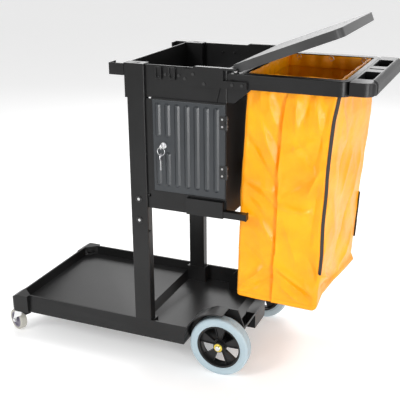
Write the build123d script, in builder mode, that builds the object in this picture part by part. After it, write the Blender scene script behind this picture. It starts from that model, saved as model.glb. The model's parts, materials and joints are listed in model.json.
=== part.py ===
from build123d import *
import math
import os

# Housekeeping cart, millimetres. It is drawn with +X towards the push handle, -Y towards the
# cabinet door and Z up from the floor, with X = 0 over the rear axle and Y = 0 on the middle plane.
# On export each piece is shifted by DATUM, which puts the origin on the floor under the middle of
# the whole cart. "near" is the door side, "far" the other side.
DATUM = Location((187.036, 1.225, 0))
SIDES = {"near": -1, "far": 1}

# Rear wheels and axle
WHEEL_R = 100.0
WHEEL_OUT = 230.0
WHEEL_IN = 189.0
RIM_R = 74.0
SPOKES = 5
AXLE_R = 6.4
AXLE_END = 236.0
HUB_BORE_R = 6.45

# Platform
BASE_HALF = 237.5
WALL = 6.0
SKIRT_Z = 90.0
RIM_Z = 155.0
FRONT_X = -757.0
FRONT_DECK_Z = 120.0
REAR_DECK_Z = 97.0
DECK_T = 4.0
STEP_TOP_X = -315.0
STEP_FOOT_X = -297.0
REAR_FOOT_X = 31.0
REAR_RIM_X = 66.0
WELL_Y = 180.0
ARCH_R = 117.0
ARCH_T = 4.0

# Front casters
CASTER_X = -753.0
CASTER_Y = 224.0
CASTER_TURN = -23.0
CASTER_TRAIL = 34.0
CASTER_R = 37.5
CASTER_HALF = 12.0
CASTER_PLATE = 48.0
PLATE_Z = 99.5
CROWN_Z = 84.0
HOUSING_Y = 250.0
HOUSING_X0 = -782.0
HOUSING_X1 = -712.0

# Posts
POST_X0 = -292.5
POST_X1 = -234.0
POST_Y0 = 203.5
POST_Y1 = 238.5
POST_TOP = 896.5
POST_WALL = 3.5
TENON = 3.0

# Top tray and cabinet
TRAY_X0 = -299.0
TRAY_X1 = 28.0
TRAY_HALF = 230.0
TRAY_FLOOR_Z = 901.0
TRAY_TOP_Z = 999.0
SOCKET_TOP_Z = 1000.5
PANEL = 4.0
CAB_X0 = -213.5
CAB_FRONT = -235.0
CAB_Z0 = 606.0
SHELF_Z0 = 548.0

# Door, hinges and lock
DOOR_X0 = -209.1
DOOR_X1 = 23.6
DOOR_Z0 = 610.4
DOOR_Z1 = 896.6
DOOR_FACE = -235.4
DOOR_T = 12.0
SKIN = 3.0
RIB_COUNT = 7
RIB_FIRST_X = -191.6
RIB_PITCH = 31.4
RIB_W = 18.0
RIB_H = 5.0
RIB_TAPER = 50.0
RIB_Z0 = 628.0
RIB_Z1 = 888.0
PIN_X = 30.6
PIN_Y = -238.2
LEAF_T = 1.6
LEAF_H = 41.0
KNUCKLE_R = 3.0
HINGE_ZS = (694.0, 844.0)
LOCK_X = -174.0
LOCK_Z = 757.0

# Bag frame, lid and push handle
FRAME_X0 = 28.4
FRAME_X1 = 378.0
FRAME_HALF = 230.0
FRAME_TOP = 988.0
FRAME_FOOT = 946.0
FRAME_T = 4.0
OPEN_X0 = 70.0
OPEN_X1 = 362.0
OPEN_HALF = 197.0
HANDLE_X1 = 446.0
HANDLE_HALF = 227.0
HANDLE_Z0 = 950.0
GRIP_T = 2.5
CUP_X0 = 385.0
CUP_X1 = 429.0
CUP_Y0 = 48.0
CUP_Y1 = 166.0
CUP_DEPTH = 30.0
LID_PIVOT_X = 52.0
LID_PIVOT_Z = 996.0
LID_ANGLE = 21.3
LID_REAR = -6.0
LID_FRONT = 321.0
LID_HALF = 216.0
LID_FOOT = -7.6
LID_TOP = 18.4

# Support bars and bag
BAR_Y0 = 223.0
BAR_Y1 = 243.0
BAR_Z0 = 553.5
BAR_Z1 = 573.5
BAR_X0 = -92.0
BAR_X1 = 90.0
BAG_TOP_Z = 990.0
BAG_FOOT_Z = 272.0
BAG_SKIN = 2.0
BAG_HALF = 194.5

SCREW_HEAD_R = 4.5
SCREW_R = 2.25
TRAY_SCREWS = [(-166.0, 972.0), (-123.0, 972.0), (-100.0, 966.0), (-74.0, 981.0), (-40.0, 955.0)]
FRAME_SCREWS = [(46.0, 958.0), (76.0, 958.0)]
POST_SCREWS = [(-263.0, 505.0), (-263.0, 575.0)]


def write(piece, name):
    """Move a finished piece to the cart's datum, label it and export it."""
    placed = piece.moved(DATUM)
    placed.label = name
    export_step(placed, f"parts/{name}.step")


def span(x, y, z, mode=Mode.ADD):
    """Add or cut a box given by its low and high value along each axis."""
    with Locations(((x[0] + x[1]) / 2, (y[0] + y[1]) / 2, (z[0] + z[1]) / 2)):
        Box(x[1] - x[0], y[1] - y[0], z[1] - z[0], mode=mode)


def reach(side, inner, outer):
    """Y limits of a feature that lies between two distances from the middle plane."""
    return (min(side * inner, side * outer), max(side * inner, side * outer))


def rod_x(y, z, x, radius, mode=Mode.ADD):
    """Add or cut a cylinder along X between two X values."""
    with Locations(((x[0] + x[1]) / 2, y, z)):
        Cylinder(radius, x[1] - x[0], rotation=(0, 90, 0), mode=mode)


def rod_y(x, z, y, radius, mode=Mode.ADD):
    """Add or cut a cylinder along Y between two Y values."""
    with Locations((x, (y[0] + y[1]) / 2, z)):
        Cylinder(radius, y[1] - y[0], rotation=(90, 0, 0), mode=mode)


def rod_z(x, y, z, radius, mode=Mode.ADD):
    """Add or cut a cylinder along Z between two Z values."""
    with Locations((x, y, (z[0] + z[1]) / 2)):
        Cylinder(radius, z[1] - z[0], mode=mode)


def side_plate(points, y, mode=Mode.ADD):
    """Add or cut a plate with an outline in XZ, between two Y values."""
    with BuildSketch(Plane.XZ.offset(-y[1])) as outline:
        with BuildLine():
            Polyline(*points, close=True)
        make_face()
    extrude(outline.sketch, amount=y[1] - y[0], mode=mode)


def plan_plate(points, z, mode=Mode.ADD):
    """Add or cut a plate with an outline in XY, between two Z values."""
    with BuildSketch(Plane.XY.offset(z[0])) as outline:
        with BuildLine():
            Polyline(*points, close=True)
        make_face()
    extrude(outline.sketch, amount=z[1] - z[0], mode=mode)


def ring_sector(centre, inner_r, outer_r, start_deg, end_deg):
    """Draw a sector of a ring in the current sketch."""
    with BuildLine() as outline:
        outer = CenterArc(centre, outer_r, start_deg, end_deg - start_deg)
        inner = CenterArc(centre, inner_r, start_deg, end_deg - start_deg)
        Line(outer @ 0, inner @ 0)
        Line(outer @ 1, inner @ 1)
    make_face(outline.edges())


def heads_and_shanks(points, side, face, mode=Mode.ADD):
    """Pan-head screws along Y, with their heads on an outward-looking face."""
    for x, z in points:
        rod_y(x, z, reach(side, face, face + 2.2), SCREW_HEAD_R, mode)
        rod_y(x, z, reach(side, face - 11, face), SCREW_R, mode)


def screw_holes(points, side, face):
    """Clearance holes for the shanks of those screws."""
    for x, z in points:
        rod_y(x, z, reach(side, face - 12, face + 1), SCREW_R + 0.05, Mode.SUBTRACT)


os.makedirs("parts", exist_ok=True)

# ---------------------------------------------------------------- platform
deck_low = FRONT_DECK_Z - DECK_T
rear_low = REAR_DECK_Z - DECK_T
with BuildPart() as base_platform:
    side_plate(
        [
            (FRONT_X, FRONT_DECK_Z),
            (STEP_TOP_X, FRONT_DECK_Z),
            (STEP_FOOT_X, REAR_DECK_Z),
            (REAR_FOOT_X, REAR_DECK_Z),
            (REAR_RIM_X, RIM_Z),
            (REAR_RIM_X + 5, RIM_Z),
            (REAR_FOOT_X + 3, rear_low),
            (STEP_FOOT_X - 3, rear_low),
            (STEP_TOP_X - 3, deck_low),
            (FRONT_X, deck_low),
        ],
        (-BASE_HALF + 1, BASE_HALF - 1),
    )
    span((FRONT_X, FRONT_X + WALL), (-BASE_HALF, BASE_HALF), (SKIRT_Z, RIM_Z))
    for side in SIDES.values():
        span((FRONT_X, 0), reach(side, BASE_HALF - WALL, BASE_HALF), (SKIRT_Z, RIM_Z))
        # clear the wheel well, then close it with the arch and the inner wall
        well = reach(side, WELL_Y, BASE_HALF + 1)
        rod_y(0, WHEEL_R, well, ARCH_R + ARCH_T / 2, Mode.SUBTRACT)
        span((0, REAR_RIM_X + 10), well, (SKIRT_Z - 1, RIM_Z + 1), Mode.SUBTRACT)
        with BuildSketch(Plane.XZ.offset(-reach(side, WELL_Y, BASE_HALF)[1])):
            ring_sector((0, WHEEL_R), ARCH_R, ARCH_R + ARCH_T, 82, 184)
        extrude(amount=BASE_HALF - WELL_Y)
        side_plate(
            [
                (-120, SKIRT_Z),
                (-120, 122),
                (-104, 163),
                (-70, 199),
                (-25, 219),
                (48, 219),
                (72, RIM_Z),
                (34, SKIRT_Z),
            ],
            reach(side, WELL_Y - WALL, WELL_Y),
        )
        rod_y(0, WHEEL_R, reach(side, 150, 188.5), 14)
        # pedestal that the post stands in
        pedestal = reach(side, POST_Y0 - 4, BASE_HALF)
        span((POST_X0 - 7, POST_X1 + 7), pedestal, (rear_low, RIM_Z))
        # front corner: caster housing below the deck, diagonal corner box above it
        span((HOUSING_X0, HOUSING_X1), reach(side, 190, HOUSING_Y), (SKIRT_Z, FRONT_DECK_Z))
        plan_plate(
            [
                (HOUSING_X0, side * 190),
                (HOUSING_X0, side * HOUSING_Y),
                (HOUSING_X1, side * HOUSING_Y),
                (HOUSING_X1, side * (BASE_HALF - WALL)),
                (FRONT_X + WALL, side * 199),
                (FRONT_X + WALL, side * 190),
            ],
            (FRONT_DECK_Z - 1, RIM_Z),
        )
        # stiffening ribs below the front deck
        span((FRONT_X + 1, STEP_TOP_X - 4), reach(side, 98, 102), (SKIRT_Z + 4, deck_low))
    # the corner boxes slope down in front of the rim
    side_plate(
        [(HOUSING_X0 - 1, 139), (HOUSING_X0 - 1, RIM_Z + 1), (FRONT_X, RIM_Z + 1), (FRONT_X, RIM_Z)],
        (-HOUSING_Y - 1, HOUSING_Y + 1),
        Mode.SUBTRACT,
    )
    for rib_x in (-640, -530, -420):
        span((rib_x - 2, rib_x + 2), (-BASE_HALF + 1, BASE_HALF - 1), (SKIRT_Z + 4, deck_low))
    # tunnel over the axle, and the tongue below the rear wall
    span((-18, 18), (-WELL_Y + 1, WELL_Y - 1), (rear_low, REAR_DECK_Z + 26))
    span((REAR_FOOT_X - 2, REAR_FOOT_X + 31), (-50.5, 50.5), (SKIRT_Z, RIM_Z - 8))
    outer_corners = edges().filter_by(Axis.Z).filter_by_position(Axis.X, HOUSING_X0 - 1, HOUSING_X0 + 1)
    fillet(outer_corners.sort_by(Axis.Y)[0], 17)
    outer_corners = edges().filter_by(Axis.Z).filter_by_position(Axis.X, HOUSING_X0 - 1, HOUSING_X0 + 1)
    fillet(outer_corners.sort_by(Axis.Y)[-1], 17)
    span((-11, 11), (-150, 150), (SKIRT_Z - 20, REAR_DECK_Z + 12), Mode.SUBTRACT)
    rod_y(0, WHEEL_R, (-189, 189), AXLE_R + 0.02, Mode.SUBTRACT)
    for side in SIDES.values():
        # post socket, caster recess and the pocket in the diagonal of the corner box
        post_mid = ((POST_X0 + POST_X1) / 2, side * (POST_Y0 + POST_Y1) / 2)
        with BuildSketch(Plane.XY.offset(RIM_Z)):
            with Locations(post_mid):
                Rectangle(POST_X1 - POST_X0 - 2 * TENON + 0.4, POST_Y1 - POST_Y0 - 2 * TENON + 0.4)
        extrude(amount=-37.2, mode=Mode.SUBTRACT)
        with BuildSketch(Plane.XY.offset(SKIRT_Z)):
            with Locations((CASTER_X, side * CASTER_Y)):
                Rectangle(CASTER_PLATE + 1, CASTER_PLATE + 1)
        extrude(amount=PLATE_Z - SKIRT_Z, mode=Mode.SUBTRACT)
        diagonal = Plane(
            origin=(-731.5, side * 215.2, 138),
            x_dir=(math.cos(math.radians(40)), side * math.sin(math.radians(40)), 0),
            z_dir=(math.sin(math.radians(40)), -side * math.cos(math.radians(40)), 0),
        )
        with BuildSketch(diagonal):
            RectangleRounded(34, 22, 5)
        extrude(amount=-12, mode=Mode.SUBTRACT)
write(base_platform.part, "base_platform")

# ---------------------------------------------------------------- posts
for name, side in SIDES.items():
    post_mid = ((POST_X0 + POST_X1) / 2, side * (POST_Y0 + POST_Y1) / 2)
    wide = POST_X1 - POST_X0
    deep = POST_Y1 - POST_Y0
    with BuildPart() as post:
        with BuildSketch(Plane.XY.offset(RIM_Z)):
            with Locations(post_mid):
                RectangleRounded(wide, deep, 5)
                Rectangle(wide - 2 * POST_WALL, deep - 2 * POST_WALL, mode=Mode.SUBTRACT)
        extrude(amount=POST_TOP - RIM_Z)
        for z0, z1 in ((118, 175), (870, 944)):
            with BuildSketch(Plane.XY.offset(z0)):
                with Locations(post_mid):
                    Rectangle(wide - 2 * TENON, deep - 2 * TENON)
                    Rectangle(wide - 4 * TENON, deep - 4 * TENON, mode=Mode.SUBTRACT)
            extrude(amount=z1 - z0)
        # fin that closes the gap beside the cabinet
        fin = reach(side, TRAY_HALF - PANEL, TRAY_HALF)
        span((POST_X1 - 1, CAB_X0 - 0.3), fin, (CAB_Z0 + 0.5, POST_TOP - 0.5))
        # stub bolts on the cabinet side of the post
        for bolt_z in (467, 590):
            rod_x(side * 229, bolt_z, (POST_X1 - 1, POST_X1 + 6), 4)
        screw_holes(POST_SCREWS, side, POST_Y1)
    write(post.part, f"post_{name}")

# ---------------------------------------------------------------- top tray
with BuildPart() as top_tray:
    span((TRAY_X0, TRAY_X1), (-TRAY_HALF, TRAY_HALF), (TRAY_FLOOR_Z, TRAY_TOP_Z))
    fillet(edges().filter_by(Axis.Z).sort_by(Axis.X)[-2:], 6)
    inside = (TRAY_X0 + PANEL, TRAY_X1 - PANEL), (-TRAY_HALF + PANEL, TRAY_HALF - PANEL)
    span(inside[0], inside[1], (TRAY_FLOOR_Z + PANEL, TRAY_TOP_Z + 1), Mode.SUBTRACT)
    for side in SIDES.values():
        post_mid = ((POST_X0 + POST_X1) / 2, side * (POST_Y0 + POST_Y1) / 2)
        with BuildSketch(Plane.XY.offset(POST_TOP)):
            with Locations(((TRAY_X0 + POST_X1 + 1.5) / 2, post_mid[1])):
                RectangleRounded(POST_X1 + 1.5 - TRAY_X0, POST_Y1 - POST_Y0 + 3, 4)
        extrude(amount=SOCKET_TOP_Z - POST_TOP)
        with BuildSketch(Plane.XY.offset(POST_TOP)):
            with Locations(post_mid):
                Rectangle(POST_X1 - POST_X0 - 2 * TENON + 0.4, POST_Y1 - POST_Y0 - 2 * TENON + 0.4)
        extrude(amount=48, mode=Mode.SUBTRACT)
        with BuildSketch(Plane.XY.offset(SOCKET_TOP_Z)):
            with Locations(post_mid):
                SlotOverall(24, 9)
        extrude(amount=-60, mode=Mode.SUBTRACT)
        screw_holes(TRAY_SCREWS, side, TRAY_HALF)
write(top_tray.part, "top_tray")

# ---------------------------------------------------------------- tool clips and hook arms
for name, side in SIDES.items():
    with BuildPart() as tool_clips:
        for clip_x in (-197.0, -153.0):
            span((clip_x, clip_x + 21), reach(side, TRAY_HALF, TRAY_HALF + 9), (959.0, 996.0))
            slot = reach(side, TRAY_HALF + 3, TRAY_HALF + 10)
            span((clip_x + 4, clip_x + 17), slot, (966.0, 997.0), Mode.SUBTRACT)
            drain = reach(side, TRAY_HALF + 5, TRAY_HALF + 10)
            span((clip_x + 7, clip_x + 14), drain, (958.0, 967.0), Mode.SUBTRACT)
    write(tool_clips.part, f"tool_clips_{name}")

    arm_x1 = TRAY_X0
    with BuildPart() as hook_arm:
        span((arm_x1 - 4, arm_x1), reach(side, 206, 240), (962, 998))
        span((arm_x1 - 50, arm_x1), reach(side, 236, 240), (962, 998))
        span((arm_x1 - 50, arm_x1 - 46), reach(side, 200, 240), (962, 998))
        fillet(edges().filter_by(Axis.Z).filter_by_position(Axis.X, arm_x1 - 51, arm_x1 - 49), 1.8)
    write(hook_arm.part, f"hook_arm_{name}")

# ---------------------------------------------------------------- cabinet
with BuildPart() as cabinet_shell:
    span((CAB_X0, TRAY_X1), (CAB_FRONT, TRAY_HALF), (CAB_Z0, TRAY_FLOOR_Z))
    room_x = (CAB_X0 + PANEL, TRAY_X1 - PANEL)
    room_z = (CAB_Z0 + PANEL, TRAY_FLOOR_Z - PANEL)
    span(room_x, (CAB_FRONT - 1, TRAY_HALF - PANEL), room_z, Mode.SUBTRACT)
    # door stop flange round the mouth
    span(room_x, (-221.5, -218.5), room_z)
    mouth_z = (room_z[0] + 10, room_z[1] - 10)
    span((room_x[0] + 10, room_x[1] - 10), (-222, -218), mouth_z, Mode.SUBTRACT)
    for hinge_z in HINGE_ZS:
        for step in (-11, 11):
            rod_x(-229, hinge_z + step, (TRAY_X1 - 6, TRAY_X1 + 1), 1.6, Mode.SUBTRACT)
write(cabinet_shell.part, "cabinet_shell")

# ---------------------------------------------------------------- lower shelf with side pockets
with BuildPart() as lower_shelf:
    span((POST_X1, TRAY_X1), (-TRAY_HALF, TRAY_HALF), (SHELF_Z0, CAB_Z0))
    span(
        (POST_X1 + PANEL, TRAY_X1 - PANEL),
        (-TRAY_HALF + PANEL, TRAY_HALF - PANEL),
        (SHELF_Z0 - 1, CAB_Z0 - PANEL),
        Mode.SUBTRACT,
    )
    for side in SIDES.values():
        span((-98, 21), reach(side, TRAY_HALF, 245.5), (551, 602))
        span((-95, 18), reach(side, TRAY_HALF + 0.5, 242.5), (594, 603), Mode.SUBTRACT)
        bar_slot = reach(side, BAR_Y0 - 0.05, BAR_Y1 + 0.05)
        span((BAR_X0 - 0.2, TRAY_X1 + 1), bar_slot, (BAR_Z0 - 0.05, BAR_Z1 + 0.05), Mode.SUBTRACT)
        # cheek that carries the shelf on the post
        span((POST_X1, POST_X1 + 14), reach(side, POST_Y0 + 6, POST_Y1 - 16), (572, CAB_Z0))
        rod_x(side * 229, 590, (POST_X1 - 1, POST_X1 + 10), 5, Mode.SUBTRACT)
write(lower_shelf.part, "lower_shelf")

for name, side in SIDES.items():
    with BuildPart() as support_bar:
        span((BAR_X0, BAR_X1), reach(side, BAR_Y0, BAR_Y1), (BAR_Z0, BAR_Z1))
        bore = reach(side, BAR_Y0 + 2, BAR_Y1 - 2)
        span((BAR_X0 - 1, BAR_X1 + 1), bore, (BAR_Z0 + 2, BAR_Z1 - 2), Mode.SUBTRACT)
    write(support_bar.part, f"support_bar_{name}")

    with BuildPart() as bar_cap:
        span((BAR_X1, BAR_X1 + 5), reach(side, BAR_Y0 - 0.6, BAR_Y1 + 1), (BAR_Z0 - 1, BAR_Z1 + 1))
        fillet(edges().sort_by(Axis.X)[-4:], 1.2)
        plug = reach(side, BAR_Y0 + 2.05, BAR_Y1 - 2.05)
        span((BAR_X1 - 14, BAR_X1), plug, (BAR_Z0 + 2.05, BAR_Z1 - 2.05))
    write(bar_cap.part, f"bar_cap_{name}")

# ---------------------------------------------------------------- door
with BuildPart() as cabinet_door:
    span((DOOR_X0, DOOR_X1), (DOOR_FACE, DOOR_FACE + DOOR_T), (DOOR_Z0, DOOR_Z1))
    fillet(faces().sort_by(Axis.Y)[0].edges(), 1.2)
    span(
        (DOOR_X0 + SKIN, DOOR_X1 - SKIN),
        (DOOR_FACE + SKIN, DOOR_FACE + DOOR_T + 1),
        (DOOR_Z0 + SKIN, DOOR_Z1 - SKIN),
        Mode.SUBTRACT,
    )
    for rib in range(RIB_COUNT):
        rib_x = RIB_FIRST_X + rib * RIB_PITCH
        # the first two ribs stop short of the lock
        stretches = [(RIB_Z0, RIB_Z1)] if rib > 1 else [(RIB_Z0, LOCK_Z - 20), (LOCK_Z + 24, RIB_Z1)]
        for z0, z1 in stretches:
            with BuildSketch(Plane.XZ.offset(-DOOR_FACE)):
                with Locations((rib_x, (z0 + z1) / 2)):
                    SlotOverall(z1 - z0, RIB_W, rotation=90)
            extrude(amount=RIB_H, taper=RIB_TAPER)
            fillet(faces(Select.LAST).sort_by(Axis.Y)[0].edges(), 3)
    rod_y(LOCK_X, LOCK_Z, (DOOR_FACE - 1, DOOR_FACE + 5), 8.05, Mode.SUBTRACT)
    for hinge_z in HINGE_ZS:
        for step in (-11, 11):
            rod_y(16, hinge_z + step, (DOOR_FACE - 1, DOOR_FACE + 5), 1.6, Mode.SUBTRACT)
write(cabinet_door.part, "cabinet_door")

# ---------------------------------------------------------------- butt hinges
third = LEAF_H / 3
with BuildPart() as hinge_door_leaves:
    for hinge_z in HINGE_ZS:
        low = hinge_z - LEAF_H / 2
        span((8, DOOR_X1), (DOOR_FACE - LEAF_T, DOOR_FACE), (low, low + LEAF_H))
        for z0 in (low, low + 2 * third + 0.2):
            ends = (z0, z0 + third - 0.2)
            span((DOOR_X1 - 1, PIN_X - 1), (DOOR_FACE - LEAF_T, DOOR_FACE - 0.3), ends)
            rod_z(PIN_X, PIN_Y, ends, KNUCKLE_R)
        rod_z(PIN_X, PIN_Y, (low - 1, low + LEAF_H + 1), 1.55, Mode.SUBTRACT)
        for step in (-11, 11):
            rod_y(16, hinge_z + step, (DOOR_FACE - 3, DOOR_FACE + 1), 1.6, Mode.SUBTRACT)
write(hinge_door_leaves.part, "hinge_door_leaves")

with BuildPart() as hinge_frame_leaves:
    for hinge_z in HINGE_ZS:
        low = hinge_z - LEAF_H / 2
        ends = (low + third + 0.15, low + 2 * third - 0.15)
        span((TRAY_X1, TRAY_X1 + LEAF_T), (-234.6, -221), (low, low + LEAF_H))
        span((TRAY_X1, TRAY_X1 + LEAF_T), (PIN_Y, -221), ends)
        rod_z(PIN_X, PIN_Y, ends, KNUCKLE_R)
        rod_z(PIN_X, PIN_Y, (low - 1, low + LEAF_H + 1), 1.5, Mode.SUBTRACT)
        for step in (-11, 11):
            rod_x(-229, hinge_z + step, (TRAY_X1 - 1, TRAY_X1 + 3), 1.6, Mode.SUBTRACT)
write(hinge_frame_leaves.part, "hinge_frame_leaves")

with BuildPart() as hinge_pins:
    for hinge_z in HINGE_ZS:
        top = hinge_z + LEAF_H / 2
        rod_z(PIN_X, PIN_Y, (top - LEAF_H - 1, top + 0.4), 1.5)
        rod_z(PIN_X, PIN_Y, (top + 0.4, top + 1.8), 2.4)
write(hinge_pins.part, "hinge_pins")

with BuildPart() as hinge_door_screws:
    for hinge_z in HINGE_ZS:
        for step in (-11, 11):
            rod_y(16, hinge_z + step, (DOOR_FACE - LEAF_T - 1.3, DOOR_FACE - LEAF_T), 3)
            rod_y(16, hinge_z + step, (DOOR_FACE - LEAF_T, DOOR_FACE + 3), 1.55)
write(hinge_door_screws.part, "hinge_door_screws")

with BuildPart() as hinge_frame_screws:
    for hinge_z in HINGE_ZS:
        for step in (-11, 11):
            rod_x(-229, hinge_z + step, (TRAY_X1 + LEAF_T, TRAY_X1 + LEAF_T + 1.3), 3)
            rod_x(-229, hinge_z + step, (TRAY_X1 - 4, TRAY_X1 + LEAF_T), 1.55)
write(hinge_frame_screws.part, "hinge_frame_screws")

# ---------------------------------------------------------------- lock, key and key ring
with BuildPart() as lock_housing:
    rod_y(LOCK_X, LOCK_Z, (DOOR_FACE - 2.2, DOOR_FACE), 9.5)
    rod_y(LOCK_X, LOCK_Z, (DOOR_FACE, -218), 8)
    rod_y(LOCK_X, LOCK_Z, (-245, -210), 5.05, Mode.SUBTRACT)
write(lock_housing.part, "lock_housing")

key_blade = (LOCK_X - 1, LOCK_X + 1), (-241.5, -222), (LOCK_Z - 3.6, LOCK_Z + 3.6)
with BuildPart() as lock_barrel:
    rod_y(LOCK_X, LOCK_Z, (-238.6, -217), 5)
    span(
        (key_blade[0][0] - 0.05, key_blade[0][1] + 0.05),
        (-240, key_blade[1][1] + 0.05),
        (key_blade[2][0] - 0.05, key_blade[2][1] + 0.05),
        Mode.SUBTRACT,
    )
write(lock_barrel.part, "lock_barrel")

with BuildPart() as lock_cam:
    with BuildSketch(Plane.XZ.offset(214.5)):
        with Locations((LOCK_X, LOCK_Z - 13.5)):
            SlotOverall(41, 13, rotation=90)
    extrude(amount=2.5)
    rod_y(LOCK_X, LOCK_Z, (-214.5, -211.5), 4)
write(lock_cam.part, "lock_cam")


def key_bow(x, y, z, hole_y, hole_z):
    """Round flat head of a key, lying in YZ, with the hole for the ring."""
    rod_x(y, z, (x - 1.1, x + 1.1), 9.5)
    rod_x(hole_y, hole_z, (x - 2, x + 2), 2.8, Mode.SUBTRACT)


bow_y = -250.5
hole_y = -255.0
with BuildPart() as door_key:
    span(*key_blade)
    key_bow(LOCK_X, bow_y, LOCK_Z, hole_y, LOCK_Z)
write(door_key.part, "door_key")

ring_r = 12.0
wire_r = 0.9
wire_z = LOCK_Z - 2.8 + wire_r + 0.3
with BuildPart() as key_ring:
    with BuildSketch(Plane.YZ.offset(LOCK_X)):
        with Locations((hole_y, wire_z)):
            Circle(wire_r)
    revolve(axis=Axis((LOCK_X, hole_y, wire_z - ring_r), (0, 1, 0)))
write(key_ring.part, "key_ring")

spare_hole_z = wire_z - 2 * ring_r - 2.8 + wire_r + 0.3
with BuildPart() as spare_key:
    key_bow(LOCK_X, hole_y, spare_hole_z - 4.5, hole_y, spare_hole_z)
    span((LOCK_X - 1, LOCK_X + 1), (hole_y - 3.6, hole_y + 3.6), (spare_hole_z - 44, spare_hole_z - 12))
    for tooth in range(4):
        notch_z = spare_hole_z - 22 - 5 * tooth
        notch = (notch_z - 1.4, notch_z + 1.4)
        span((LOCK_X - 2, LOCK_X + 2), (hole_y + 2, hole_y + 4), notch, Mode.SUBTRACT)
write(spare_key.part, "spare_key")

# ---------------------------------------------------------------- brackets that carry the bag frame
for name, side in SIDES.items():
    with BuildPart() as handle_bracket:
        side_plate(
            [
                (-107, 957),
                (-107, 994),
                (-86, 994.5),
                (-68, 1004),
                (58, 1004),
                (58, 998),
                (19, 998),
                (19, 968),
                (90, 968),
                (90, 947),
                (-92, 945),
            ],
            reach(side, TRAY_HALF, TRAY_HALF + 9),
        )
        span((-68, 40), reach(side, TRAY_HALF - 5, TRAY_HALF + 9), (TRAY_TOP_Z, 1004))
        side_plate([(-19, 946), (8, 946), (-3, 903), (-8, 903)], reach(side, TRAY_HALF, TRAY_HALF + 3.5))
        screw_holes(TRAY_SCREWS[2:], side, TRAY_HALF + 9)
        screw_holes(FRAME_SCREWS, side, TRAY_HALF + 9)
    write(handle_bracket.part, f"handle_bracket_{name}")

with BuildPart() as panel_screws:
    for side in SIDES.values():
        heads_and_shanks(TRAY_SCREWS[:2], side, TRAY_HALF)
        heads_and_shanks(TRAY_SCREWS[2:], side, TRAY_HALF + 9)
        heads_and_shanks(FRAME_SCREWS, side, TRAY_HALF + 9)
        heads_and_shanks(POST_SCREWS, side, POST_Y1)
write(panel_screws.part, "panel_screws")

# ---------------------------------------------------------------- bag frame


def frame_outline(shrink):
    """Plan outline of the bag frame, rounded where it meets the push handle."""
    x0 = FRAME_X0 + shrink
    x1 = FRAME_X1 - shrink
    half = FRAME_HALF - shrink
    corner = 30 - shrink
    with BuildLine() as outline:
        Polyline((x1 - corner, half), (x0, half), (x0, -half), (x1 - corner, -half))
        CenterArc((x1 - corner, -half + corner), corner, -90, 90)
        Line((x1, -half + corner), (x1, half - corner))
        CenterArc((x1 - corner, half - corner), corner, 0, 90)
    make_face(outline.edges())


open_mid = (OPEN_X0 + OPEN_X1) / 2
with BuildPart() as bag_frame:
    with BuildSketch(Plane.XY.offset(FRAME_FOOT)):
        frame_outline(0)
    extrude(amount=FRAME_TOP - FRAME_FOOT)
    fillet(faces().sort_by(Axis.Z)[-1].edges(), 1.5)
    with BuildSketch(Plane.XY.offset(FRAME_FOOT)):
        frame_outline(FRAME_T)
    extrude(amount=FRAME_TOP - FRAME_FOOT - FRAME_T, mode=Mode.SUBTRACT)
    # lip that the bag hangs against, then the mouth
    with BuildSketch(Plane.XY.offset(FRAME_TOP - 16)):
        with Locations((open_mid, 0)):
            Rectangle(OPEN_X1 - OPEN_X0 + 6, 2 * OPEN_HALF + 6)
    extrude(amount=14)
    with BuildSketch(Plane.XY.offset(FRAME_FOOT)):
        with Locations((open_mid, 0)):
            RectangleRounded(OPEN_X1 - OPEN_X0, 2 * OPEN_HALF, 8)
    extrude(amount=FRAME_TOP - FRAME_FOOT + 1, mode=Mode.SUBTRACT)
    for side in SIDES.values():
        # gusset below the arm, ear for the lid pivot
        side_plate(
            [(FRAME_X0, FRAME_FOOT + 1), (102, FRAME_FOOT + 1), (50, 904), (FRAME_X0, 904)],
            reach(side, FRAME_HALF - FRAME_T, FRAME_HALF),
        )
        ear = reach(side, LID_HALF + 1, LID_HALF + 7)
        span((LID_PIVOT_X - 7, LID_PIVOT_X + 7), ear, (FRAME_TOP - 1, LID_PIVOT_Z))
        rod_y(LID_PIVOT_X, LID_PIVOT_Z, ear, 7)
        rod_y(LID_PIVOT_X, LID_PIVOT_Z, reach(side, LID_HALF, LID_HALF + 8), 3, Mode.SUBTRACT)
        screw_holes(FRAME_SCREWS, side, FRAME_HALF + 9)
write(bag_frame.part, "bag_frame")

# ---------------------------------------------------------------- push handle and grip


def handle_section(grow):
    """Cross-section of the push handle, in XZ, rounded on its outer edge."""
    x0 = FRAME_X1 + 0.3
    x1 = HANDLE_X1 + grow
    z0 = HANDLE_Z0 - grow
    z1 = FRAME_TOP + grow
    round_top = 13
    round_low = 9
    with BuildLine() as outline:
        Polyline((x1 - round_top, z1), (x0, z1), (x0, z0), (x1 - round_low, z0))
        CenterArc((x1 - round_low, z0 + round_low), round_low, -90, 90)
        Line((x1, z0 + round_low), (x1, z1 - round_top))
        CenterArc((x1 - round_top, z1 - round_top), round_top, 0, 90)
    make_face(outline.edges())


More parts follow.
